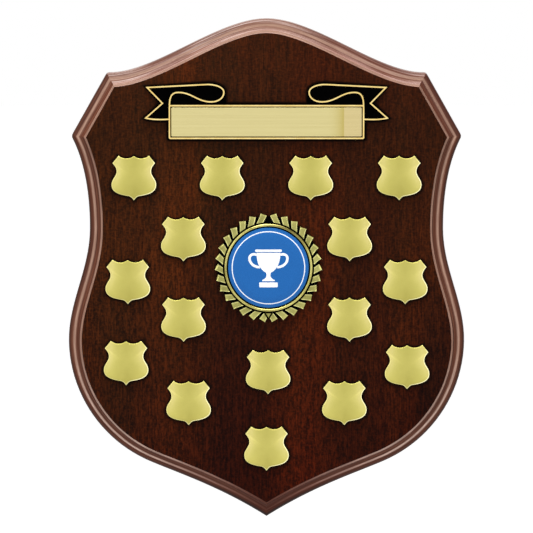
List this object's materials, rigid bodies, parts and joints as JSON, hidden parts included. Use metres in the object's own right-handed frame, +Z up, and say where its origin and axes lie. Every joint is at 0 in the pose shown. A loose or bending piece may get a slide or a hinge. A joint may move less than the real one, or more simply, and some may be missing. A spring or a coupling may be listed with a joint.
{
  "type": "perpetual award shield",
  "caption": "Wall-hung wooden award shield with a routed edge, small blank metal shields, a ribbon title plate and a laurel wreath round a centre disc.",
  "frame": {"origin": "centre of the board's back face, on the wall plane", "axes": "+Z up as the shield hangs, +Y from the front into the wall, +X to the viewer's right"},
  "size_m": [0.2454, 0.019, 0.31],
  "materials": {
    "stained_wood": "satin lacquer",
    "dark_veneer": "satin lacquer",
    "back_wood": "matt",
    "gilt_metal": "satin",
    "pale_gilt": "brushed",
    "black_enamel": "gloss",
    "blue_disc": "gloss",
    "pad_foam": "matt",
    "plain_steel": "satin"
  },
  "bodies": {
    "root": {"core_board": "stained_wood", "face_veneer": "dark_veneer", "back_veneer": "back_wood", "annual_shield_01": "gilt_metal", "annual_shield_02": "gilt_metal", "annual_shield_03": "gilt_metal", "annual_shield_04": "gilt_metal", "annual_shield_05": "gilt_metal", "annual_shield_06": "gilt_metal", "annual_shield_07": "gilt_metal", "annual_shield_08": "gilt_metal", "annual_shield_09": "gilt_metal", "annual_shield_10": "gilt_metal", "annual_shield_11": "gilt_metal", "annual_shield_12": "gilt_metal", "annual_shield_13": "gilt_metal", "annual_shield_14": "gilt_metal", "annual_shield_15": "gilt_metal", "annual_shield_16": "gilt_metal", "shield_pad_01": "pad_foam", "shield_pad_02": "pad_foam", "shield_pad_03": "pad_foam", "shield_pad_04": "pad_foam", "shield_pad_05": "pad_foam", "shield_pad_06": "pad_foam", "shield_pad_07": "pad_foam", "shield_pad_08": "pad_foam", "shield_pad_09": "pad_foam", "shield_pad_10": "pad_foam", "shield_pad_11": "pad_foam", "shield_pad_12": "pad_foam", "shield_pad_13": "pad_foam", "shield_pad_14": "pad_foam", "shield_pad_15": "pad_foam", "shield_pad_16": "pad_foam", "ribbon_plate": "black_enamel", "ribbon_gilt_line": "gilt_metal", "title_plate": "pale_gilt", "ribbon_pad_centre": "pad_foam", "ribbon_pad_left": "pad_foam", "ribbon_pad_right": "pad_foam", "wreath_casting": "gilt_metal", "wreath_pad": "pad_foam", "disc_tape": "pad_foam", "centre_disc": "blue_disc", "keyhole_plate": "plain_steel", "hanger_screw_top": "plain_steel", "hanger_screw_bottom": "plain_steel"}
  },
  "joints": []
}
